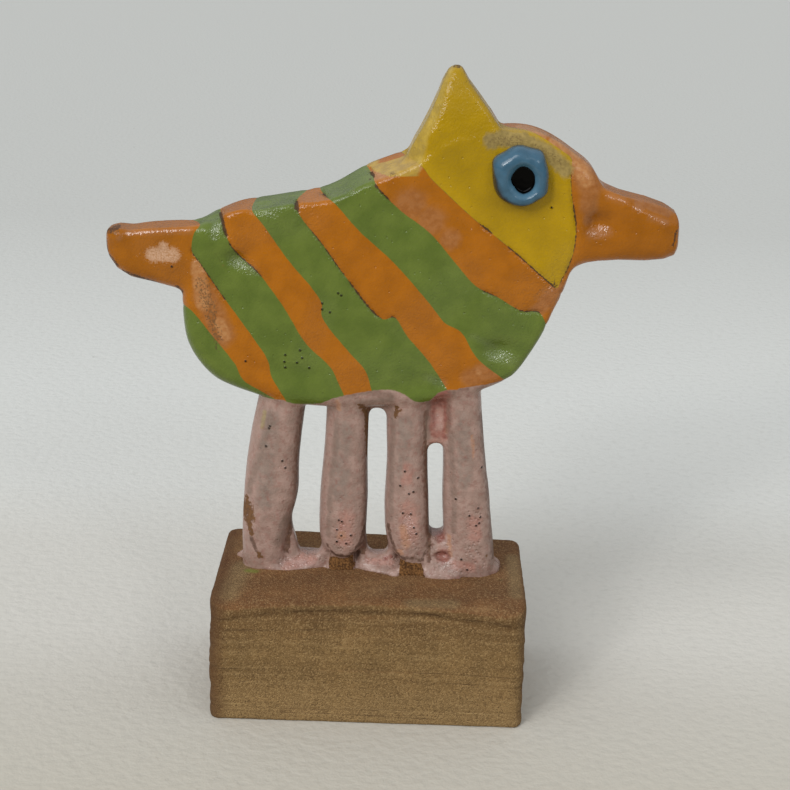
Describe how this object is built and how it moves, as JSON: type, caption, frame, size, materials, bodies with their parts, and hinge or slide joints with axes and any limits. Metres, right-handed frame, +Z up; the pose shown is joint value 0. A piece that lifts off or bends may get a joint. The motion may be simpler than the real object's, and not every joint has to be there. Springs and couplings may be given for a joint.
{
  "type": "ceramic dog sculpture",
  "caption": "Flat hand-built clay dog with striped glaze, standing on a row of coil legs on an unglazed block.",
  "frame": {"origin": "centre of the plinth's flat underside", "axes": "+Z up, +X toward the snout, -Y the side the picture shows, which is the dog's right side"},
  "size_m": [0.1294, 0.0465, 0.1493],
  "materials": {
    "striped_glaze": "thick brushed glaze, orange and green stripes with a yellow head and pale pink legs",
    "eye_glaze": "glossy blue glaze with a dark pit",
    "bare_clay": "unglazed sandy brown stoneware, wire-cut sides"
  },
  "bodies": {
    "root": {"plinth": "bare_clay", "dog": "striped_glaze", "eye_right": "eye_glaze", "eye_left": "eye_glaze"}
  },
  "joints": []
}
